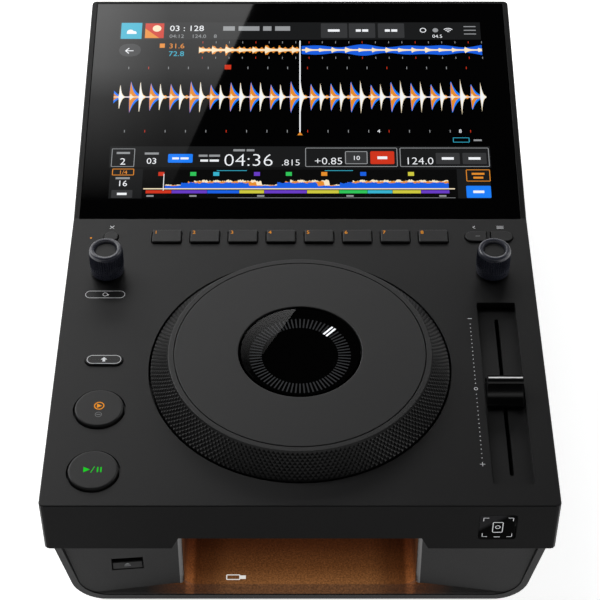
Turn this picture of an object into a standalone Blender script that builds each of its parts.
"""A tabletop DJ media player with a sloped touch screen, a large jog wheel and a long tempo fader.

The player stands on four feet, looks towards -Y, and has +X to its right.
Lengths are metres.  Heights named *_drop are measured down from the deck, *_rise up from it.
"""
import math

import bmesh
import bpy
from mathutils import Matrix, Vector

# General fits and walls
fit_gap = 0.0003           # between pieces that touch or seat
run_gap = 0.0004           # between pieces that turn inside each other
overrun = 0.004            # how far a cutter runs past what it cuts
case_wall = 0.0020         # side, front and rear walls of the upper case
deck_wall = 0.0025         # horizontal deck of the upper case
merge_reach = 0.000001     # points closer than this are one point

# Upper case
column_width = 0.0479      # strip beside the jog well that carries the keys or the fader
screen_side_border = 0.0172
foot_height = 0.0040
tub_height = 0.0777        # tub bottom to deck
skirt_drop = 0.0333        # lower edge of the upper case
notch_drop = 0.0250        # lower edge of the upper case over the USB bay
notch_half_top = 0.0595
notch_half_low = 0.0632
corner_radius = 0.0025
edge_break = 0.0005

# Screen
panel_width = 0.2170       # lit area of a 10.1 inch 16:10 panel
panel_height = 0.1356
panel_low_border = 0.0138
panel_high_border = 0.0146
screen_angle = math.radians(9.7)
side_bezel = 0.0031        # case edge beside the glass
top_bezel = 0.00205        # case edge behind the glass
glass_thickness = 0.0018
glass_gap = 0.00045
screen_wall = 0.0048
module_border = 0.0040     # metal border of the panel round its lit area
module_thickness = 0.0056
pan_wall = 0.0030
pan_floor = 0.0012

# Jog wheel
well_radius = 0.0778
well_depth = 0.0080
well_floor = 0.0025
jog_front_margin = 0.0142
jog_to_pads = 0.0137
ring_gap = 0.0011          # running gap between the ring and the well at deck level
ring_flank_run = 0.0095    # horizontal reach of the knurled flank
ring_rise = 0.0113
ring_lip = 0.0032          # flat rim outside the top plate
ring_skirt = 0.0060
ring_draft = 0.0006
ring_wall = 0.0026
knurl_depth = 0.00045
knurl_rows = 4
knurl_ribs = 96
knurl_border = 0.0005
window_radius = 0.0312
top_plate_thickness = 0.0020
web_thickness = 0.0025
sleeve_wall = 0.0026
sleeve_drop = 0.0070
lens_sink = 0.0002         # centre window below the top of the wheel
lens_thickness = 0.0060    # clear block over the round display
jog_module_thickness = 0.0013
hub_tray_wall = 0.0015
hub_tray_floor = 0.0015
bearing_width = 0.0048     # radial
hub_shoulder = 0.0032
hub_flange_reach = 0.0080
hub_flange_thickness = 0.0030
hub_wire_bore = 0.0080
encoder_radius = 0.0512
encoder_wall = 0.0012
encoder_drop = 0.0040
encoder_slot_height = 0.0045
encoder_slots = 20
encoder_slot_share = 0.5   # of the pitch
sensor_width = 0.0060
sensor_arm = 0.0018
sensor_base = 0.0014
sensor_rise = 0.0005

# Pads and small keys
pad_count = 8
pad_width = 0.0162
pad_depth = 0.0100
pad_pitch = 0.0209
pad_corner = 0.0010
pad_rise = 0.0013
pads_to_screen = 0.0103
key_gap = 0.0004           # slit round a key
key_travel_room = 0.0010
key_flange = 0.0010        # how far a key's flange reaches under the deck
key_flange_thickness = 0.0012
key_stem = 0.0036
key_edge = 0.0004
key_rise = 0.0010
delete_diameter = 0.0080
tag_key_width = 0.0119
tag_key_depth = 0.0080
tag_rib = 0.0025           # between the back key and the tag key, slits included
shift_width = 0.0195
shift_depth = 0.0076
shift_from_front = 0.0956

# Cue and play keys
big_key_diameter = 0.0250
big_key_gap = 0.00085
big_key_rise = 0.0015
play_from_front = 0.0216
cue_pitch = 0.0404
key_column_shift = -0.0009  # from the middle of the column towards the jog wheel
knob_column_shift = 0.0020  # from the middle of the column towards the side

# Turn and push knobs
knob_diameter = 0.0183
knob_rise = 0.0170
knob_clearance = 0.0011
knob_flutes = 44
knob_flute_depth = 0.00045
knob_flutes_start = 0.0066 # where the flutes begin, above the plain foot
knob_collar_rise = 0.0136  # top of the fluted part
knob_top_diameter = 0.0170
knob_rim_width = 0.0027
knob_dish = 0.0015
knob_insert_thickness = 0.0012
knob_foot_break = 0.0005
shaft_diameter = 0.0060
shaft_drop = 0.0060
shaft_hole_gap = 0.0006
knob_to_tag_key = 0.01365
plunger_thickness = 0.0016
encoder_body = 0.0124
encoder_seat_drop = 0.0032

# Tempo fader
fader_travel = 0.1000
fader_from_front = 0.0136
fader_end_room = 0.0026
fader_width = 0.0205
tray_drop = 0.0040
tray_floor = 0.0015
tray_flange = 0.0030
fader_slot = 0.0021
cap_width = 0.0180
cap_length = 0.0190
cap_rise = 0.0088
cap_ridge_length = 0.0030   # flat on top, which carries the line
cap_shoulder = 0.0012      # slope beside the ridge
cap_lip = 0.0018
cap_lip_length = 0.0010
cap_crease = 0.0006        # step down behind the lip
cap_hollow_reach = 0.0010  # how far the hollow's corner stands off the ridge's foot
cap_base_gap = 0.0005
lever_width = 0.0012
lever_length = 0.0020
lever_depth_in_cap = 0.0050
fader_body_width = 0.0130
fader_body_height = 0.0090
fader_body_wall = 0.0012
fader_body_end = 0.0040
carriage_height = 0.0040
carriage_length = 0.0120
fader_to_knob = 0.01475

# Lower tub
tub_taper = math.radians(12.3)
tub_half_width = 0.1218    # at the lower edge of the upper case
tub_wall = 0.0035
tub_corner = 0.0180
tub_lip = 0.0056           # height of the lip inside the upper case
post_radius = 0.0035
post_height = 0.0050

# Front of the tub and the USB bay
bay_half_width = 0.0588
bay_floor_drop = 0.0705
bay_depth = 0.0400
bay_fillet = 0.0065
bay_wall = 0.0018
bay_roof_gap = 0.0003
bridge_height = 0.0040
panel_recess = 0.0005
panel_thickness = 0.0030
panel_edge_radius = 0.0022
wing_corner_inset = 0.0178  # tub side at the skirt to where the wing meets the lip's front
wing_lean = math.radians(3.4)
wing_angle = math.radians(4.65)
lip_run = 0.0035           # front of the lip back to the crease
lip_front_height = 0.0010  # above the tub floor
lip_depth = 0.0120
light_strip_height = 0.0016
light_strip_depth = 0.0040
bay_cover_thickness = 0.0016

# Eject key in the middle of the left wing
eject_width = 0.0150
eject_height = 0.0052
eject_hole_height = 0.0085
eject_drop = 0.0526        # middle of the hole
eject_flange = 0.0012
eject_flange_thickness = 0.0014
eject_stem = 0.0050
eject_sink = 0.0002

# Touch plate on the front
touch_size = 0.0180
touch_from_side = 0.0297   # case side to the middle of the plate
touch_drop = 0.0163
touch_thickness = 0.0012

# Boards and power supply
board_thickness = 0.0016
key_board_drop = 0.0090
key_board_margin = 0.0060
main_board_depth = 0.1100
main_board_back = 0.0300   # bay back wall to the front of the board
supply_width = 0.0440
supply_depth = 0.0900
supply_height = 0.0280
board_gap = 0.0020         # round the main board and the supply, in plan

# USB sockets in the bay
usb_a_width = 0.0145
usb_a_height = 0.0072
usb_wall = 0.0008
usb_mouth_depth = 0.0090
usb_depth = 0.0140
usb_proud = 0.0006
usb_c_width = 0.0100
usb_c_height = 0.0042
usb_c_wall = 0.0006
usb_spread = 0.0220        # each socket from the middle of the bay
usb_rise = 0.0140          # over the bay floor
usb_corner_shares = {"usb_a_port": 0.2, "usb_c_port": 0.9}  # of half the shell's height

# Rear panel and its sockets
rear_wall = 0.0025
rear_recess = 0.0088       # tub rear edge to the panel's face
inlet_width = 0.0300
inlet_height = 0.0230
inlet_mouth_width = 0.0240
inlet_mouth_height = 0.0160
inlet_depth = 0.0200
inlet_mouth_depth = 0.0150
socket_row_drop = 0.0580   # height of the sockets' middle line
inlet_from_side = 0.0344    # tub side, at the sockets' height, to the inlet's middle
switch_to_inlet = 0.0320
switch_width = 0.0120
switch_height = 0.0120
switch_proud = 0.0030
lan_from_middle = -0.0100
lan_width = 0.0160
lan_height = 0.0140
lan_mouth_width = 0.0118
lan_mouth_height = 0.0085
lan_depth = 0.0210
lan_mouth_depth = 0.0140
rca_from_side = 0.0484     # tub side to the outer phono socket
rca_pitch = 0.0180
rca_base = 0.0110
rca_base_depth = 0.0100
rca_diameter = 0.0083
rca_length = 0.0085
rca_bore = 0.0035

# Feet
foot_diameter = 0.0220
foot_sink = 0.0010
foot_from_side = 0.0300    # tub floor edge to the foot's middle, along X
foot_from_end = 0.0320
foot_edge = 0.0008

# How finely round forms are cut
fine_steps = 72
round_steps = 48
key_steps = 24
small_steps = 16

# Worked out from the sizes above
def deck_length():
    """The deck is as long as the longer of its two rows of things needs."""
    jog_column = jog_front_margin + 2 * well_radius + jog_to_pads + pad_depth + pads_to_screen
    fader_column = (fader_from_front + fader_travel + cap_length + 2 * fader_end_room + fader_to_knob
                    + knob_diameter + knob_to_tag_key + (pad_depth + tag_key_depth) / 2 + pads_to_screen)
    return max(jog_column, fader_column)


controls_width = 2 * (well_radius + column_width)
display_width = panel_width + 2 * screen_side_border
case_width = max(controls_width, display_width)
half_width = case_width / 2
glass_width = case_width - 2 * (side_bezel + glass_gap)
glass_length = panel_low_border + panel_height + panel_high_border
slope_length = glass_length + glass_gap + top_bezel
deck_depth = deck_length()
screen_run = slope_length * math.cos(screen_angle)
screen_rise = slope_length * math.sin(screen_angle)
case_depth = deck_depth + screen_run
front_y = -case_depth / 2
rear_y = case_depth / 2
deck_back_y = front_y + deck_depth
deck_z = foot_height + tub_height
top_z = deck_z + screen_rise
skirt_z = deck_z - skirt_drop
tub_front_y = front_y + case_wall + fit_gap
tub_rear_y = rear_y - case_wall - fit_gap
jog_y = front_y + jog_front_margin + well_radius
pad_y = deck_back_y - pads_to_screen - pad_depth / 2
column_x = half_width - column_width / 2
key_column_x = column_x + key_column_shift
knob_x = column_x + knob_column_shift
knob_y = pad_y - tag_key_depth / 2 - knob_to_tag_key - knob_diameter / 2
under_deck_z = deck_z - deck_wall
key_flange_z = under_deck_z - fit_gap
key_board_z = deck_z - key_board_drop
tray_length = fader_travel + cap_length + 2 * fader_end_room
fader_y = front_y + fader_from_front + tray_length / 2
tub_floor_z = foot_height + tub_wall
bay_floor_z = deck_z - bay_floor_drop
bay_roof_z = deck_z - notch_drop + bay_roof_gap
panel_front_y = tub_front_y + panel_recess
crease_y = panel_front_y + lip_run
bay_back_y = tub_front_y + bay_depth


def start():
    """Empty the scene, so that the model is all that it holds."""
    for thing in list(bpy.data.objects):
        bpy.data.objects.remove(thing, do_unlink=True)


def material(name, colour, roughness, metallic=0.0):
    """One plain Principled material."""
    made = bpy.data.materials.new(name)
    made.use_nodes = True
    shader = made.node_tree.nodes["Principled BSDF"]
    shader.inputs["Base Color"].default_value = (*colour, 1.0)
    shader.inputs["Roughness"].default_value = roughness
    shader.inputs["Metallic"].default_value = metallic
    made.diffuse_color = (*colour, 1.0)
    return made


def make_object(name, mesh_data, finish=None):
    """Turn a bmesh into a named object with its faces pointing out."""
    bmesh.ops.remove_doubles(mesh_data, verts=mesh_data.verts, dist=merge_reach)
    bmesh.ops.recalc_face_normals(mesh_data, faces=mesh_data.faces)
    mesh = bpy.data.meshes.new(name)
    mesh_data.to_mesh(mesh)
    mesh_data.free()
    mesh.shade_smooth()
    mesh.set_sharp_from_angle(angle=math.radians(30))
    thing = bpy.data.objects.new(name, mesh)
    bpy.context.scene.collection.objects.link(thing)
    if finish is not None:
        mesh.materials.append(finish)
    return thing


def loft(name, rings, finish=None):
    """A solid through rings of equal point count, closed by a flat face at each end."""
    mesh_data = bmesh.new()
    loops = [[mesh_data.verts.new(point) for point in ring] for ring in rings]
    count = len(loops[0])
    for low, high in zip(loops, loops[1:]):
        for i in range(count):
            j = (i + 1) % count
            mesh_data.faces.new((low[i], low[j], high[j], high[i]))
    mesh_data.faces.new(list(reversed(loops[0])))
    mesh_data.faces.new(loops[-1])
    return make_object(name, mesh_data, finish)


def at_height(outline, z):
    """A flat outline in plan, lifted to a height."""
    return [(x, y, z) for x, y in outline]


def prism(name, outline, low, high, finish=None, axis="Z"):
    """Push a flat outline along X, Y or Z.  Along X it is (y, z), along Y (x, z), along Z (x, y)."""
    place = {"X": lambda p, q, along: (along, p, q),
             "Y": lambda p, q, along: (p, along, q),
             "Z": lambda p, q, along: (p, q, along)}[axis]
    rings = [[place(p, q, along) for p, q in outline] for along in (low, high)]
    return loft(name, rings, finish)


def hull(name, points):
    """The smallest closed form round a few points, used for wedge cutters."""
    mesh_data = bmesh.new()
    for point in points:
        mesh_data.verts.new(point)
    bmesh.ops.convex_hull(mesh_data, input=mesh_data.verts)
    return make_object(name, mesh_data)


def arc(centre, radius, first, last, steps):
    """Points along an arc, both ends included; angles in degrees."""
    turn = [math.radians(first + (last - first) * i / steps) for i in range(steps + 1)]
    return [(centre[0] + radius * math.cos(a), centre[1] + radius * math.sin(a)) for a in turn]


def circle(radius, steps, centre=(0, 0)):
    """A full circle, without repeating its first point."""
    return arc(centre, radius, 0, 360, steps)[:-1]


def rectangle(width, height, centre=(0, 0)):
    """A plain rectangle round its centre."""
    x, y = centre
    w, h = width / 2, height / 2
    return [(x - w, y - h), (x + w, y - h), (x + w, y + h), (x - w, y + h)]


def rounded(width, height, radius, centre=(0, 0), steps=2):
    """A rectangle with rounded corners; with a radius of half its height it is a pill."""
    radius = min(radius, width / 2, height / 2)
    w, h = width / 2 - radius, height / 2 - radius
    corners = ((w, h, 0), (-w, h, 90), (-w, -h, 180), (w, -h, 270))
    points = []
    for x, y, first in corners:
        points += arc((centre[0] + x, centre[1] + y), radius, first, first + 90, steps)
    return points


def ring_points(radius, z, steps, centre, depth=0.0, first=0):
    """One level ring of a turned form; every second point may be sunk to make knurls or flutes."""
    points = []
    for i in range(steps):
        turn = 2 * math.pi * i / steps
        r = radius - depth * ((i + first) % 2)
        points.append((centre[0] + r * math.cos(turn), centre[1] + r * math.sin(turn), z))
    return points


def band(mesh_data, low, high):
    """Faces between two rings, which have the same count or one twice the other."""
    if len(low) == len(high):
        for i in range(len(low)):
            j = (i + 1) % len(low)
            mesh_data.faces.new((low[i], low[j], high[j], high[i]))
        return
    fine, coarse = (low, high) if len(low) > len(high) else (high, low)
    count = len(coarse)
    for i in range(count):
        j = (i + 1) % count
        first, middle, last = fine[2 * i], fine[2 * i + 1], fine[(2 * i + 2) % len(fine)]
        mesh_data.faces.new((coarse[i], first, middle))
        mesh_data.faces.new((coarse[i], middle, coarse[j]))
        mesh_data.faces.new((coarse[j], middle, last))


def turned(name, profile, steps, centre, finish=None, closed=True):
    """Turn a profile about a vertical axis.

    Each profile row is (radius, z), then how many times finer than the steps its ring is cut,
    then the depth and phase of its knurl.  Rings next to each other differ by twice at most.
    A closed profile makes a ring; an open one is capped flat at both ends.
    """
    mesh_data = bmesh.new()
    rings = []
    for row in profile:
        radius, z, fineness, depth, first = (*row, *(1, 0.0, 0)[len(row) - 2:])
        points = ring_points(radius, z, steps * fineness, centre, depth, first)
        rings.append([mesh_data.verts.new(point) for point in points])
    for low, high in zip(rings, rings[1:]):
        band(mesh_data, low, high)
    if closed:
        band(mesh_data, rings[-1], rings[0])
    else:
        mesh_data.faces.new(list(reversed(rings[0])))
        mesh_data.faces.new(rings[-1])
    return make_object(name, mesh_data, finish)


def work_on(target, tool, operation):
    """Cut, join or keep with another solid, which is then only a guide."""
    step = target.modifiers.new(tool.name, "BOOLEAN")
    step.operation = operation
    step.solver = "EXACT"
    step.object = tool
    tool.hide_render = True
    tool.display_type = "WIRE"


def cut(target, *tools):
    """Take the tools away from the target."""
    for tool in tools:
        work_on(target, tool, "DIFFERENCE")


def join(target, *tools):
    """Fuse the tools with the target."""
    for tool in tools:
        work_on(target, tool, "UNION")


def mirrored(outline):
    """The same outline on the other side of the middle plane."""
    return [(-x, y) for x, y in reversed(outline)]


def screen_frame(thing):
    """Lay a piece in the plane of the screen: its y runs up the slope from the deck's back edge."""
    thing.location = (0, deck_back_y, deck_z)
    thing.rotation_euler = (screen_angle, 0, 0)
    return thing


# Lower tub
def tub_side_x(z):
    """Half width of the tub's outer face at a height."""
    return tub_half_width - (skirt_z - z) * math.tan(tub_taper)


def tub_section(inset, top_z_here):
    """The tub's front view, moved in by an inset and closed flat at a height."""
    radius = tub_corner - inset
    centre_z = foot_height + tub_corner
    tilt = math.degrees(tub_taper)
    tangent_z = centre_z - tub_corner * math.sin(tub_taper)
    centre_x = tub_side_x(tangent_z) - tub_corner * math.cos(tub_taper)
    top_x = tub_side_x(top_z_here) - inset / math.cos(tub_taper)
    right = arc((centre_x, centre_z), radius, -90, -tilt, 8) + [(top_x, top_z_here)]
    return right + mirrored(right)


def build_tub(finish):
    """The grey tub: a tapered channel with rounded bottom edges and a lip inside the upper case."""
    lip_low = skirt_z + fit_gap
    lip_top = skirt_z + tub_lip
    lip_half = half_width - case_wall - fit_gap
    tub = prism("lower_tub", tub_section(0, lip_low), tub_front_y, tub_rear_y, finish, "Y")
    lip = prism("tub_lip_block", rectangle(2 * lip_half, tub_lip, (0, lip_low + tub_lip / 2)),
                tub_front_y, tub_rear_y, axis="Y")
    room = prism("tub_room", tub_section(tub_wall, lip_top + overrun),
                 tub_front_y - overrun, tub_rear_y + overrun, axis="Y")
    join(tub, lip)
    cut(tub, room)
    for i, (x, y) in enumerate(main_board_posts()):
        post = prism(f"tub_post_{i + 1}", circle(post_radius, small_steps, (x, y)),
                     tub_floor_z - tub_wall / 2, tub_floor_z + post_height)
        join(tub, post)
    for i, (x, y) in enumerate(foot_places()):
        seat = prism(f"foot_seat_{i + 1}", circle(foot_diameter / 2 + fit_gap, key_steps, (x, y)),
                     foot_height - overrun, foot_height + foot_sink)
        cut(tub, seat)
    return tub


def floor_half():
    """Half width of the tub's flat floor."""
    return tub_side_x(foot_height + tub_corner) - tub_corner * math.cos(tub_taper)


def main_board_width():
    """The main board fills the floor beside the power supply."""
    return 2 * floor_half() - supply_width - 3 * board_gap


def main_board_middle():
    """Plan centre of the main board, behind the USB bay."""
    x = -floor_half() + board_gap + main_board_width() / 2
    return (x, bay_back_y + main_board_back + main_board_depth / 2)


def main_board_posts():
    """Four posts under the corners of the main board."""
    x, y = main_board_middle()
    dx = main_board_width() / 2 - 2 * post_radius
    dy = main_board_depth / 2 - 2 * post_radius
    return [(x + sx * dx, y + sy * dy) for sx in (-1, 1) for sy in (-1, 1)]


def foot_places():
    """Plan centres of the four feet."""
    x = floor_half() + foot_diameter / 2 - foot_from_side
    return [(sx * x, y) for y in (tub_front_y + foot_from_end, tub_rear_y - foot_from_end)
            for sx in (-1, 1)]


def build_feet(finish):
    """Four rubber feet let into the tub's floor."""
    for i, place in enumerate(foot_places()):
        radius = foot_diameter / 2
        profile = [(radius - foot_edge, 0), (radius, foot_edge), (radius, foot_height + foot_sink - fit_gap)]
        turned(f"foot_{i + 1}", profile, small_steps, place, finish, closed=False)


# Upper case
def build_case(finish):
    """The dark upper case: deck, sloped screen surround, skirt and the cup of the jog well."""
    plan = rounded(case_width, case_depth, corner_radius, steps=3)
    case = prism("top_panel", plan, skirt_z, top_z + overrun, finish)
    above = [(front_y - overrun, deck_z), (deck_back_y, deck_z), (rear_y, top_z),
             (rear_y + overrun, top_z), (rear_y + overrun, top_z + 2 * overrun),
             (front_y - overrun, top_z + 2 * overrun)]
    cut(case, prism("space_above", above, -half_width - overrun, half_width + overrun, axis="X"))
    soften = case.modifiers.new("edge_break", "BEVEL")
    soften.width = edge_break
    soften.segments = 2
    soften.limit_method = "ANGLE"
    soften.angle_limit = math.radians(40)
    cut(case, case_room())
    join(case, prism("jog_cup", circle(well_radius + case_wall, round_steps, (0, jog_y)),
                     deck_z - well_depth - well_floor, deck_z - deck_wall / 2))
    cut(case, prism("jog_well", circle(well_radius, fine_steps, (0, jog_y)),
                    deck_z - well_depth, deck_z + overrun))
    cut(case, prism("hub_hole", circle(hub_shoulder_radius() + run_gap, round_steps, (0, jog_y)),
                    deck_z - well_depth - well_floor - overrun, deck_z - well_depth + overrun))
    cut(case, glass_recess(), screen_window(), front_notch(), touch_seat())
    cut(case, *deck_holes())
    return case


def case_room():
    """The hollow of the upper case, seen from the side."""
    slope = math.tan(screen_angle)
    thick_y = deck_back_y - screen_wall
    bend_y = deck_back_y + screen_wall * math.tan(screen_angle / 2)
    inner_rear = rear_y - case_wall
    inner_top = deck_z + (inner_rear - deck_back_y) * slope - screen_wall / math.cos(screen_angle)
    side = [(front_y + case_wall, skirt_z - overrun), (front_y + case_wall, under_deck_z),
            (thick_y, under_deck_z), (thick_y, deck_z - screen_wall), (bend_y, deck_z - screen_wall),
            (inner_rear, inner_top), (inner_rear, skirt_z - overrun)]
    return prism("case_room", side, case_wall - half_width, half_width - case_wall, axis="X")


def glass_recess():
    """The shallow recess that the cover glass lies in."""
    plan = rectangle(glass_width + 2 * glass_gap, glass_length + 2 * glass_gap, (0, glass_length / 2))
    return screen_frame(prism("glass_recess", plan, -glass_thickness - fit_gap, overrun))


def module_middle():
    """Centre of the display panel, up the slope."""
    return panel_low_border + panel_height / 2


def screen_window():
    """The opening under the glass that the display panel looks through."""
    plan = rectangle(panel_width + 2 * (module_border + fit_gap),
                     panel_height + 2 * (module_border + fit_gap), (0, module_middle()))
    return screen_frame(prism("screen_window", plan, -screen_wall - overrun, overrun))


def front_notch():
    """The front edge steps up over the USB bay with slanted ends."""
    low = skirt_z - overrun
    step_z = deck_z - notch_drop
    spread = (notch_half_low - notch_half_top) * (step_z - low) / (step_z - skirt_z)
    view = [(-notch_half_top - spread, low), (notch_half_top + spread, low),
            (notch_half_top, step_z), (-notch_half_top, step_z)]
    return prism("front_notch", view, front_y - overrun, front_y + case_wall + fit_gap, axis="Y")


def touch_middle():
    """Centre of the square touch plate, in the front view."""
    return (half_width - touch_from_side, deck_z - touch_drop)


def touch_seat():
    """The seat of the touch plate in the front wall."""
    side = touch_size + 2 * fit_gap
    view = rounded(side, side, corner_radius / 2 + fit_gap, touch_middle())
    return prism("touch_seat", view, front_y - overrun, front_y + touch_thickness + fit_gap, axis="Y")


def deck_holes():
    """Every hole in the deck for a key, a knob's shaft or the fader."""
    low, high = under_deck_z - overrun / 2, deck_z + overrun
    holes = []
    for name, outline, _rise in key_plans():
        holes.append(prism(name + "_hole", outline(key_hole_gap(name)), low, high))
    for name, x in (("loop", -knob_x), ("browse", knob_x)):
        ring = circle(shaft_diameter / 2 + shaft_hole_gap, small_steps, (x, knob_y))
        holes.append(prism(name + "_shaft_hole", ring, low, high))
    holes.append(prism("fader_hole", rounded(fader_width, tray_length, pad_corner, (knob_x, fader_y)),
                       low, high))
    return holes


# Keys
def key_hole_gap(name):
    """Slit between a key and its hole."""
    return big_key_gap if name in ("cue_button", "play_button") else key_gap


def half_pill(side, grow):
    """Back or tag key: flat towards the middle rib, round at the other end."""
    depth = tag_key_depth + 2 * grow
    inner = max(tag_rib / 2 - grow, fit_gap)
    round_x = tag_rib / 2 + tag_key_width + grow - depth / 2
    right = [(inner, -depth / 2)] + arc((round_x, 0), depth / 2, -90, 90, 8) + [(inner, depth / 2)]
    outline = right if side > 0 else mirrored(right)
    return [(knob_x + x, pad_y + y) for x, y in outline]


def key_plans():
    """Name, outline for a given growth, and rise of every key on the deck."""
    plans = []
    for i in range(pad_count):
        x = (i - (pad_count - 1) / 2) * pad_pitch
        plans.append((f"pad_{i + 1}", lambda grow, x=x: rounded(
            pad_width + 2 * grow, pad_depth + 2 * grow, pad_corner + grow, (x, pad_y)), pad_rise))
    plans.append(("delete_button", lambda grow: circle(
        delete_diameter / 2 + grow, small_steps, (-knob_x, pad_y)), key_rise))
    plans.append(("back_button", lambda grow: half_pill(-1, grow), key_rise))
    plans.append(("tag_button", lambda grow: half_pill(1, grow), key_rise))
    shift_y = front_y + shift_from_front
    plans.append(("shift_button", lambda grow: rounded(
        shift_width + 2 * grow, shift_depth + 2 * grow, shift_depth, (-key_column_x, shift_y), 3), key_rise))
    for name, y in (("play_button", front_y + play_from_front),
                    ("cue_button", front_y + play_from_front + cue_pitch)):
        plans.append((name, lambda grow, y=y: circle(
            big_key_diameter / 2 + grow, key_steps, (-key_column_x, y)), big_key_rise))
    return plans


def middle_of(outline):
    """Mean point of an outline."""
    return (sum(x for x, _ in outline) / len(outline), sum(y for _, y in outline) / len(outline))


def shrunk(outline, width):
    """The same outline drawn in towards its middle until it is about as wide as given."""
    cx, cy = middle_of(outline)
    reach = max(max(abs(x - cx), abs(y - cy)) for x, y in outline)
    share = width / 2 / reach
    return [(cx + (x - cx) * share, cy + (y - cy) * share) for x, y in outline]


def build_keys(finish):
    """Each key is a cap, a flange that holds it under the deck, and a stem over its switch."""
    for name, outline, rise in key_plans():
        grow = key_hole_gap(name) + key_flange
        stem = shrunk(outline(0), key_stem)
        rings = [at_height(stem, key_board_z + key_travel_room),
                 at_height(stem, key_flange_z - key_flange_thickness),
                 at_height(outline(grow), key_flange_z - key_flange_thickness),
                 at_height(outline(grow), key_flange_z),
                 at_height(outline(0), key_flange_z),
                 at_height(outline(0), deck_z + rise - key_edge),
                 at_height(outline(-key_edge), deck_z + rise)]
        loft(name, rings, finish)


# Jog wheel
def lens_radius():
    """The centre window runs just inside the wheel's bore."""
    return window_radius - run_gap


def bearing_outer():
    """Outer radius of the bearing, inside the wheel's sleeve."""
    return window_radius + run_gap - fit_gap


def bearing_inner():
    """Bore of the bearing, over the hub."""
    return bearing_outer() - bearing_width


def hub_shoulder_radius():
    """The shoulder that the bearing stands on."""
    return bearing_inner() - fit_gap + hub_shoulder


def build_jog(case_dark, knurl_black, glass, metal, board):
    """The wheel turns on a fixed hub, which carries the round display and its window."""
    centre = (0, jog_y)
    bore = window_radius + run_gap
    base_radius = well_radius - ring_gap
    top_radius = base_radius - ring_flank_run
    plate_radius = top_radius - ring_lip
    seat_z = deck_z + ring_rise - top_plate_thickness - fit_gap
    web_z = seat_z - web_thickness
    low_z = deck_z - ring_skirt
    profile = [(base_radius - ring_draft, low_z, 2), (base_radius, deck_z, 4)]
    for row in range(knurl_rows):
        share = row / (knurl_rows - 1)
        start_r, end_r = base_radius - knurl_border, top_radius + knurl_border
        start_z, end_z = deck_z + knurl_border, deck_z + ring_rise - knurl_border
        profile.append((start_r + (end_r - start_r) * share, start_z + (end_z - start_z) * share,
                        4, knurl_depth, row))
    profile += [(top_radius, deck_z + ring_rise, 2), (plate_radius + fit_gap, deck_z + ring_rise, 2),
                (plate_radius + fit_gap, seat_z), (bore, seat_z), (bore, deck_z - sleeve_drop),
                (bore + sleeve_wall, deck_z - sleeve_drop), (bore + sleeve_wall, web_z),
                (plate_radius - ring_wall, web_z), (base_radius - ring_draft - ring_wall, low_z)]
    turned("jog_ring", profile, knurl_ribs // 2, centre, knurl_black)

    top = deck_z + ring_rise
    turned("jog_top_plate", [(plate_radius, seat_z + fit_gap), (plate_radius, top - edge_break / 2),
                             (plate_radius - edge_break / 2, top), (bore + edge_break, top),
                             (bore, top - edge_break), (bore, seat_z + fit_gap)],
           knurl_ribs // 2, centre, case_dark)

    lens_top = top - lens_sink
    lens_low = lens_top - lens_thickness
    module_top = lens_low - fit_gap
    module_low = module_top - jog_module_thickness
    module_radius = lens_radius() - hub_tray_wall - fit_gap
    turned("jog_display_lens", [(lens_radius(), lens_low), (lens_radius(), lens_top - edge_break / 2),
                                (lens_radius() - edge_break / 2, lens_top)],
           round_steps, centre, glass, closed=False)
    turned("jog_display_module", [(module_radius, module_low), (module_radius, module_top)],
           round_steps, centre, board, closed=False)

    tray_floor_z = module_low - fit_gap
    head_z = tray_floor_z - hub_tray_floor
    column = bearing_inner() - fit_gap
    floor_z = deck_z - well_depth
    flange_z = floor_z - well_floor - fit_gap
    shoulder_z = deck_z - sleeve_drop - fit_gap
    shoulder = hub_shoulder_radius()
    turned("jog_hub", [(shoulder + hub_flange_reach, flange_z - hub_flange_thickness),
                       (shoulder + hub_flange_reach, flange_z), (shoulder, flange_z),
                       (shoulder, shoulder_z), (column, shoulder_z), (column, head_z),
                       (lens_radius(), head_z), (lens_radius(), module_top),
                       (lens_radius() - hub_tray_wall, module_top),
                       (lens_radius() - hub_tray_wall, tray_floor_z), (hub_wire_bore, tray_floor_z),
                       (hub_wire_bore, flange_z - hub_flange_thickness)],
           key_steps, centre, metal)
    turned("jog_bearing", [(bearing_outer(), shoulder_z + fit_gap), (bearing_outer(), head_z - fit_gap),
                           (bearing_inner(), head_z - fit_gap), (bearing_inner(), shoulder_z + fit_gap)],
           key_steps, centre, metal)
    build_encoder_ring(centre, web_z - fit_gap, metal)
    build_jog_sensor(centre, floor_z + fit_gap, board)


def build_encoder_ring(centre, top, finish):
    """A slotted skirt under the wheel, which the fixed sensor reads."""
    inner = encoder_radius - encoder_wall
    low = deck_z - encoder_drop
    ring = turned("jog_encoder_ring", [(encoder_radius, low), (encoder_radius, top), (inner, top),
                                       (inner, low)], 2 * encoder_slots, centre, finish)
    mesh_data = bmesh.new()
    slot_width = 2 * math.pi * encoder_radius / encoder_slots * encoder_slot_share
    for i in range(encoder_slots):
        turn = 2 * math.pi * (i + 0.5) / encoder_slots
        size = Matrix.Diagonal((4 * encoder_wall, slot_width, 2 * encoder_slot_height, 1))
        middle = Vector((centre[0], centre[1], low)) + Matrix.Rotation(turn, 3, "Z") @ Vector(
            (encoder_radius - encoder_wall / 2, 0, 0))
        place = Matrix.Translation(middle) @ Matrix.Rotation(turn, 4, "Z") @ size
        bmesh.ops.create_cube(mesh_data, size=1, matrix=place)
    cut(ring, make_object("encoder_slots", mesh_data))
    return ring


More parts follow.
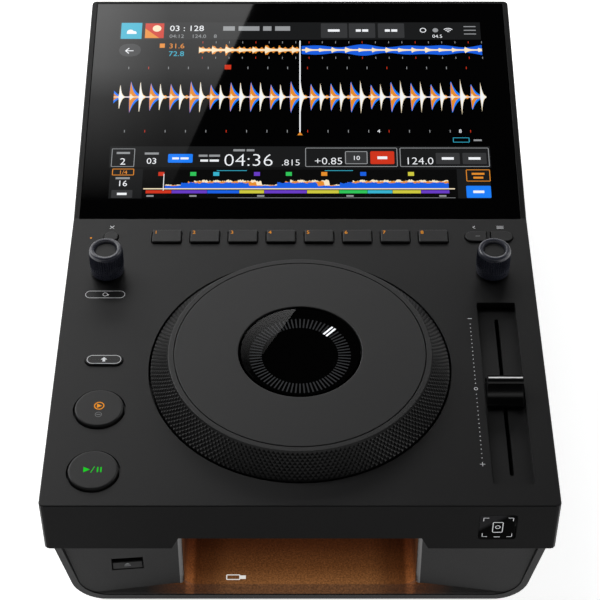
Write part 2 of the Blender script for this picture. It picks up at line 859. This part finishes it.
def build_jog_sensor(centre, low, finish):
    """A fork that straddles the slotted skirt, at the front of the well."""
    inner = encoder_radius - encoder_wall - run_gap * 2
    outer = encoder_radius + run_gap * 2
    top = deck_z + sensor_rise
    y = centre[1]
    view = [(y - outer - sensor_arm, low), (y - inner + sensor_arm, low), (y - inner + sensor_arm, top),
            (y - inner, top), (y - inner, low + sensor_base), (y - outer, low + sensor_base),
            (y - outer, top), (y - outer - sensor_arm, top)]
    return prism("jog_sensor", view, -sensor_width / 2, sensor_width / 2, finish, "X")


# Knobs
def build_knob(name, x, grip, light, metal, board):
    """A fluted knob on its shaft, with the push rod and encoder that it works."""
    centre = (x, knob_y)
    radius = knob_diameter / 2
    low = deck_z + knob_clearance
    collar = deck_z + knob_collar_rise
    top = deck_z + knob_rise
    top_radius = knob_top_diameter / 2
    dish_radius = top_radius - knob_rim_width
    dish_z = top - knob_dish - knob_insert_thickness - fit_gap
    shaft = shaft_diameter / 2
    shaft_end = deck_z - shaft_drop
    profile = [(shaft, shaft_end), (shaft, low), (radius - knob_foot_break, low, 2),
               (radius, deck_z + knob_flutes_start, 4), (radius, collar, 4, knob_flute_depth),
               (top_radius, top - edge_break, 2), (top_radius - edge_break, top, 2),
               (dish_radius, top), (dish_radius, dish_z)]
    turned(name + "_knob", profile, knob_flutes // 2, centre, grip, closed=False)
    insert = dish_radius - fit_gap
    turned(name + "_knob_insert", [(insert, dish_z + fit_gap), (insert, top - knob_dish)],
           key_steps, centre, light, closed=False)
    plunger_top = shaft_end - fit_gap
    turned(name + "_plunger", [(shaft, plunger_top - plunger_thickness), (shaft, plunger_top)],
           small_steps, centre, metal, closed=False)
    body = prism(name + "_encoder", rounded(encoder_body, encoder_body, corner_radius / 2, centre),
                 key_board_z + fit_gap, deck_z - encoder_seat_drop, board)
    cut(body, prism(name + "_encoder_bore", circle(shaft + fit_gap, small_steps, centre),
                    key_board_z - overrun, deck_z + overrun))


# Tempo fader
def cap_profile():
    """Side view of the fader cap: a lip at each end, a deep hollow and a ridge in the middle."""
    base = deck_z - tray_drop + cap_base_gap
    top = deck_z + cap_rise
    half, ridge = cap_length / 2, cap_ridge_length / 2
    lip_z = base + cap_lip
    lip_back = half - cap_lip_length
    start = Vector((lip_back - cap_crease, lip_z - cap_crease))
    end = Vector((ridge + cap_shoulder, top - cap_shoulder))
    corner = Vector((end.x + cap_hollow_reach, lip_z + cap_hollow_reach))
    hollow = []
    for i in range(7):
        t = i / 6
        point = start * (1 - t) ** 2 + corner * (2 * t * (1 - t)) + end * t ** 2
        hollow.append((point.x, point.y))
    right = [(half, base), (half, lip_z), (lip_back, lip_z)] + hollow + [(ridge, top)]
    return [(fader_y + y, z) for y, z in right + mirrored(right)]


def build_fader(cap_black, tray_dark, metal):
    """The cap rides on a lever, which slides in a slotted metal body under the tray."""
    cap = prism("fader_cap", cap_profile(), knob_x - cap_width / 2, knob_x + cap_width / 2,
                cap_black, "X")
    lever_top = deck_z - tray_drop + cap_base_gap + lever_depth_in_cap
    pocket = prism("cap_pocket", rectangle(lever_width + 2 * fit_gap, lever_length + 2 * fit_gap,
                                           (knob_x, fader_y)),
                   deck_z - tray_drop - overrun, lever_top + fit_gap)
    cut(cap, pocket)

    tray_top = under_deck_z - fit_gap
    tray_low = deck_z - tray_drop - tray_floor
    tray = prism("fader_tray", rounded(fader_width + 2 * tray_flange, tray_length + 2 * tray_flange,
                                       corner_radius, (knob_x, fader_y)), tray_low, tray_top, tray_dark)
    cut(tray, prism("tray_recess", rounded(fader_width, tray_length, pad_corner, (knob_x, fader_y)),
                    deck_z - tray_drop, deck_z + overrun))
    slot_length = fader_travel + lever_length + 2 * fader_end_room
    slot = rounded(fader_slot, slot_length, fader_slot / 2, (knob_x, fader_y))
    cut(tray, prism("tray_slot", slot, tray_low - overrun, deck_z + overrun))

    body_top = tray_low - fit_gap
    body_low = body_top - fader_body_height
    body_length = slot_length + 2 * fader_body_end
    room_top = body_top - fader_body_wall
    room_low = body_low + fader_body_wall
    body = prism("fader_body", rectangle(fader_body_width, body_length, (knob_x, fader_y)),
                 body_low, body_top, metal)
    room_width = fader_body_width - 2 * fader_body_wall
    room_length = body_length - 2 * fader_body_wall
    cut(body, prism("fader_body_room", rectangle(room_width, room_length, (knob_x, fader_y)),
                    room_low, room_top))
    cut(body, prism("fader_body_slot", slot, room_top - overrun / 2, body_top + overrun))

    block_half = room_width / 2 - fit_gap
    block_top = room_top - fit_gap
    block_low = block_top - carriage_height
    lever_half = lever_width / 2
    view = [(-block_half, block_low), (block_half, block_low), (block_half, block_top),
            (-block_half, block_top)]
    carriage = prism("fader_carriage", [(knob_x + x, z) for x, z in view],
                     fader_y - carriage_length / 2, fader_y + carriage_length / 2, metal, "Y")
    lever = prism("fader_lever", rectangle(2 * lever_half, lever_length, (knob_x, fader_y)),
                  block_top - carriage_height / 2, lever_top)
    join(carriage, lever)


# Display
def build_display(glass, board, metal):
    """Cover glass in its recess, the display panel below it, and the steel pan that holds the panel."""
    plan = rectangle(glass_width, glass_length, (0, glass_length / 2))
    screen_frame(prism("display_glass", plan, -glass_thickness, 0, glass))
    middle = (0, module_middle())
    width = panel_width + 2 * module_border
    height = panel_height + 2 * module_border
    top = -glass_thickness - fit_gap
    low = top - module_thickness
    screen_frame(prism("display_module", rectangle(width, height, middle), low, top, board))
    pan_top = -screen_wall - fit_gap
    pan_low = low - fit_gap - pan_floor
    pan = screen_frame(prism("display_bracket", rounded(
        width + 2 * (fit_gap + pan_wall), height + 2 * (fit_gap + pan_wall), corner_radius, middle),
        pan_low, pan_top, metal))
    room = rectangle(width + 2 * fit_gap, height + 2 * fit_gap, middle)
    cut(pan, screen_frame(prism("pan_room", room, low - fit_gap, overrun)))


# Front panel and USB bay
def wing_face_y(x, z):
    """The face of the front panel: angled back towards the bay and leaning back with height."""
    back = (tub_half_width - wing_corner_inset - abs(x)) * math.tan(wing_angle)
    return panel_front_y + back + (z - tub_floor_z) * math.tan(wing_lean)


def lip_z(y):
    """Height of the sloped lip in front of the bay floor."""
    low = tub_floor_z + lip_front_height
    return low + (y - panel_front_y) * (bay_floor_z - low) / lip_run


def opening_plan(z):
    """Plan of the space in front of the wings and between them, with rounded bay corners."""
    corner_y = wing_face_y(bay_half_width, z)
    r = panel_edge_radius
    far = half_width + overrun
    turn = math.degrees(wing_angle)
    centre = (bay_half_width + r, corner_y + r)
    bend = [(x, y) for x, y in arc(centre, r, 180, 270 - turn, 4)]
    right = [(bay_half_width, bay_back_y + overrun)] + bend + [(far, wing_face_y(far, z)),
                                                               (far, front_y - overrun)]
    return right + mirrored(right)


def panel_space():
    """Everything in front of the front panel's faces, from the bay floor up to the bridge."""
    low, high = bay_floor_z - lip_run, bay_roof_z
    return loft("panel_space", [at_height(opening_plan(z), z) for z in (low, high)])


def wing_slab(name, side, back, inner, outer, low, high):
    """A wedge on one side: what lies behind the wing's face moved back by a distance."""
    points = []
    for x in (inner, outer):
        for z in (low, high):
            points.append((side * x, wing_face_y(x, z) + back, z))
            points.append((side * x, bay_back_y + overrun, z))
    return hull(name, points)


def build_front_panel(finish):
    """Two angled wings joined by a bridge over the bay, standing on the lip of the bay floor."""
    top = bay_roof_z + bridge_height
    block_back = bridge_back_y()
    view = tub_section(tub_wall + fit_gap, top)
    panel = prism("front_panel", view, panel_front_y, block_back, finish, "Y")
    cut(panel, panel_space())
    back_y = block_back + overrun
    seat = [(front_y - overrun, lip_z(front_y - overrun) + fit_gap), (crease_y, bay_floor_z + fit_gap),
            (back_y, bay_floor_z + fit_gap), (back_y, 0), (front_y - overrun, 0)]
    cut(panel, prism("lip_space", seat, -half_width, half_width, axis="X"))
    for side, word in ((-1, "left"), (1, "right")):
        cut(panel, wing_slab(word + "_wing_back", side, panel_thickness, bay_half_width - overrun,
                             half_width + overrun, 0, bay_roof_z))
    hole = prism("eject_hole", rectangle(eject_width + 2 * key_gap, eject_hole_height, (0, 0)),
                 -overrun, panel_thickness + overrun, axis="Y")
    hole.matrix_world = eject_place()
    cut(panel, hole)
    return panel


def eject_place():
    """Frame of the eject key: y goes into the panel."""
    z = deck_z - eject_drop
    wing_outer_x = tub_side_x(z) - tub_wall / math.cos(tub_taper)
    x = -(bay_half_width + wing_outer_x) / 2
    turn = Matrix.Rotation(wing_angle, 4, "Z") @ Matrix.Rotation(-wing_lean, 4, "X")
    return Matrix.Translation((x, wing_face_y(x, z), z)) @ turn


def build_eject(finish):
    """The eject key sits at the bottom of its hole and is pushed into the panel."""
    low = -eject_hole_height / 2 + key_gap
    middle = (0, low + eject_height / 2)
    face = rectangle(eject_width - 2 * key_edge, eject_height - 2 * key_edge, middle)
    cap = rectangle(eject_width, eject_height, middle)
    flange = rectangle(eject_width + 2 * (key_gap + eject_flange), eject_hole_height + 2 * eject_flange)
    stem = rectangle(key_stem, key_stem)
    back = panel_thickness + fit_gap
    stations = ((face, eject_sink), (cap, eject_sink + key_edge), (cap, back), (flange, back),
                (flange, back + eject_flange_thickness), (stem, back + eject_flange_thickness),
                (stem, back + eject_flange_thickness + eject_stem))
    rings = [[(x, y, z) for x, z in outline] for outline, y in stations]
    key = loft("eject_button", rings, finish)
    key.matrix_world = eject_place()
    return key


def bay_view(half, low, radius, high):
    """Front view of the bay: flat floor, rounded lower corners, open top."""
    right = arc((half - radius, low + radius), radius, -90, 0, 6) + [(half, high)]
    return right + mirrored(right)


def bridge_back_y():
    """Rear face of the front panel's bridge over the bay."""
    return wing_face_y(0, bay_roof_z + bridge_height) + panel_thickness


def build_bay(finish, light, dark):
    """The lipped floor and walls of the USB bay, with its light strip and its cover."""
    outer_half = bay_half_width + bay_wall
    view = bay_view(outer_half, bay_floor_z - bay_wall, bay_fillet + bay_wall, bay_roof_z)
    liner = prism("usb_bay_liner", view, crease_y, bay_back_y + bay_wall, finish, "Y")
    cut(liner, prism("bay_room", bay_view(bay_half_width, bay_floor_z, bay_fillet, bay_roof_z + overrun),
                     front_y - overrun, bay_back_y, axis="Y"))
    low = tub_floor_z + fit_gap
    lip_side = [(panel_front_y, low), (panel_front_y + lip_depth, low),
                (panel_front_y + lip_depth, bay_floor_z), (crease_y, bay_floor_z),
                (panel_front_y, lip_z(panel_front_y))]
    lip = prism("bay_lip", lip_side, -half_width, half_width, axis="X")
    work_on(lip, prism("lip_ends", tub_section(tub_wall + fit_gap, bay_roof_z), front_y - overrun,
                       bay_back_y, axis="Y"), "INTERSECT")
    join(liner, lip)
    for side, word in ((-1, "left"), (1, "right")):
        points = []
        inner, outer = bay_half_width - fit_gap, outer_half + overrun
        for x in (inner, outer):
            for z in (bay_floor_z, bay_roof_z + overrun):
                points.append((side * x, wing_face_y(bay_half_width, z) + panel_thickness + fit_gap, z))
                points.append((side * x, front_y - overrun, z))
        cut(liner, hull(word + "_wing_room", points))
    for name, x, width, height in usb_places():
        corner = height / 2 * usb_corner_shares["usb_a_port"]
        hole = rounded(width + 2 * fit_gap, height + 2 * fit_gap, corner, (x, bay_floor_z + usb_rise))
        cut(liner, prism(name + "_hole", hole, bay_back_y - overrun, bay_back_y + overrun, axis="Y"))

    strip_y = bridge_back_y() + fit_gap
    strip_back_y = strip_y + light_strip_depth
    strip = rectangle(2 * (bay_half_width - bay_wall), light_strip_height,
                      (0, bay_roof_z + light_strip_height / 2))
    prism("bay_light_strip", strip, strip_y, strip_back_y, light, "Y")
    cover = rectangle(2 * outer_half, bay_cover_thickness,
                      (0, bay_roof_z + fit_gap + bay_cover_thickness / 2))
    prism("bay_cover", cover, strip_back_y + fit_gap, bay_back_y + bay_wall, dark, "Y")


def usb_places():
    """Name, place, width and height of the two sockets in the bay."""
    return (("usb_a_port", -usb_spread, usb_a_width, usb_a_height),
            ("usb_c_port", usb_spread, usb_c_width, usb_c_height))


def build_usb(metal):
    """Two USB shells that stand a little proud of the bay's back wall."""
    for name, x, width, height in usb_places():
        wall = usb_wall if name == "usb_a_port" else usb_c_wall
        corner = height / 2 * usb_corner_shares[name]
        centre = (x, bay_floor_z + usb_rise)
        front = bay_back_y - usb_proud
        body = prism(name, rounded(width, height, corner, centre), front, front + usb_depth, metal, "Y")
        mouth = rounded(width - 2 * wall, height - 2 * wall, corner, centre)
        cut(body, prism(name + "_mouth", mouth, front - overrun, front + usb_mouth_depth, axis="Y"))


# Rear panel
def socket_z():
    """Height of the row of sockets."""
    return deck_z - socket_row_drop


def build_rear(finish, metal, black, light):
    """The plate that closes the tub's rear, with the mains inlet, switch and sockets."""
    low_y = tub_rear_y - rear_recess - rear_wall
    high_y = tub_rear_y - rear_recess
    z = socket_z()
    side_x = tub_side_x(z)
    inlet_x = side_x - inlet_from_side
    switch_x = inlet_x - switch_to_inlet
    rca_right_x = -side_x + rca_from_side
    plate = prism("rear_panel", tub_section(tub_wall + fit_gap, skirt_z + tub_lip), low_y, high_y, finish, "Y")

    def box_socket(name, x, width, height, mouth_width, mouth_height, depth, mouth_depth, slot_finish):
        """A block socket in a hole of the plate, its face level with the plate."""
        view = rectangle(width, height, (x, z))
        body = prism(name, view, high_y - depth, high_y, slot_finish, "Y")
        mouth = rectangle(mouth_width, mouth_height, (x, z))
        cut(body, prism(name + "_mouth", mouth, high_y - mouth_depth, high_y + overrun, axis="Y"))
        hole = rectangle(width + 2 * fit_gap, height + 2 * fit_gap, (x, z))
        cut(plate, prism(name + "_hole", hole, low_y - overrun, high_y + overrun, axis="Y"))

    box_socket("power_inlet", inlet_x, inlet_width, inlet_height, inlet_mouth_width,
               inlet_mouth_height, inlet_depth, inlet_mouth_depth, black)
    box_socket("lan_jack", lan_from_middle, lan_width, lan_height, lan_mouth_width, lan_mouth_height,
               lan_depth, lan_mouth_depth, metal)

    for name, x in (("rca_left", rca_right_x + rca_pitch), ("rca_right", rca_right_x)):
        base = rectangle(rca_base, rca_base, (x, z))
        body = prism(name, base, high_y - rca_base_depth, high_y, light, "Y")
        join(body, prism(name + "_barrel", circle(rca_diameter / 2, small_steps, (x, z)),
                         high_y - rca_base_depth / 2, high_y + rca_length, axis="Y"))
        cut(body, prism(name + "_bore", circle(rca_bore / 2, small_steps, (x, z)),
                        high_y - rca_base_depth / 2, high_y + rca_length + overrun, axis="Y"))
        hole = rectangle(rca_base + 2 * fit_gap, rca_base + 2 * fit_gap, (x, z))
        cut(plate, prism(name + "_hole", hole, low_y - overrun, high_y + overrun, axis="Y"))

    face = rectangle(switch_width - 2 * key_edge, switch_height - 2 * key_edge, (switch_x, z))
    cap = rectangle(switch_width, switch_height, (switch_x, z))
    flange = rectangle(switch_width + 2 * (key_gap + key_flange), switch_height + 2 * (key_gap + key_flange),
                       (switch_x, z))
    back = low_y - fit_gap
    stations = ((face, high_y + switch_proud), (cap, high_y + switch_proud - key_edge), (cap, back),
                (flange, back), (flange, back - key_flange_thickness))
    loft("power_button", [[(x, y, zz) for x, zz in outline] for outline, y in stations], black)
    hole = rectangle(switch_width + 2 * key_gap, switch_height + 2 * key_gap, (switch_x, z))
    cut(plate, prism("switch_hole", hole, low_y - overrun, high_y + overrun, axis="Y"))


# Boards, power supply and touch plate
def build_inside(board, metal):
    """The key board round the jog cup, the main board on its posts, and the power supply."""
    left = half_width - key_board_margin
    inner = well_radius + case_wall + key_board_margin / 2
    back = deck_back_y - screen_wall - fit_gap
    strip = jog_y + well_radius + case_wall + key_board_margin / 2
    arm_y = knob_y - encoder_body / 2 - key_board_margin / 2
    front = front_y + case_wall + key_board_margin
    plan = [(-left, front), (-inner, front), (-inner, strip), (inner, strip), (inner, arm_y),
            (left, arm_y), (left, back), (-left, back)]
    prism("key_board", plan, key_board_z - board_thickness, key_board_z, board)

    low = tub_floor_z + post_height + fit_gap
    prism("main_board", rounded(main_board_width(), main_board_depth, corner_radius,
                                main_board_middle()),
          low, low + board_thickness, board)
    supply_y = tub_rear_y - rear_recess - inlet_depth - board_gap - supply_depth / 2
    centre = (floor_half() - board_gap - supply_width / 2, supply_y)
    supply_low = tub_floor_z + fit_gap
    prism("power_supply", rounded(supply_width, supply_depth, corner_radius, centre),
          supply_low, supply_low + supply_height, metal)


def build_touch_plate(glass):
    """The square glossy touch plate, level with the case's front."""
    view = rounded(touch_size, touch_size, corner_radius / 2, touch_middle())
    prism("touch_plate", view, front_y, front_y + touch_thickness, glass, "Y")


def main():
    """Build the whole player."""
    start()
    case_dark = material("case_dark", (0.035, 0.036, 0.038), 0.55)
    tub_grey = material("tub_grey", (0.11, 0.115, 0.12), 0.6)
    panel_grey = material("panel_grey", (0.06, 0.062, 0.065), 0.65)
    bay_amber = material("bay_amber", (0.55, 0.24, 0.06), 0.6)
    light_amber = material("light_amber", (0.95, 0.6, 0.25), 0.4)
    glass = material("glass_black", (0.01, 0.01, 0.012), 0.08)
    knurl_black = material("knurl_black", (0.02, 0.02, 0.021), 0.45)
    key_dark = material("key_dark", (0.03, 0.031, 0.033), 0.5)
    knob_blue_grey = material("knob_blue_grey", (0.05, 0.052, 0.065), 0.4)
    knob_top = material("knob_top", (0.12, 0.12, 0.13), 0.35)
    cap_black = material("cap_black", (0.015, 0.015, 0.016), 0.35)
    metal = material("bright_metal", (0.55, 0.56, 0.58), 0.35, 1.0)
    socket_black = material("socket_black", (0.02, 0.02, 0.02), 0.5)
    board_green = material("board_green", (0.03, 0.12, 0.06), 0.5)
    rubber = material("rubber", (0.02, 0.02, 0.02), 0.85)

    build_case(case_dark)
    build_tub(tub_grey)
    build_front_panel(panel_grey)
    build_bay(bay_amber, light_amber, case_dark)
    build_usb(metal)
    build_rear(panel_grey, metal, socket_black, knob_top)
    build_display(glass, board_green, metal)
    build_jog(case_dark, knurl_black, glass, metal, board_green)
    build_keys(key_dark)
    build_eject(key_dark)
    for name, x in (("loop", -knob_x), ("browse", knob_x)):
        build_knob(name, x, knob_blue_grey, knob_top, metal, socket_black)
    build_fader(cap_black, case_dark, metal)
    build_touch_plate(glass)
    build_inside(board_green, metal)
    build_feet(rubber)


main()
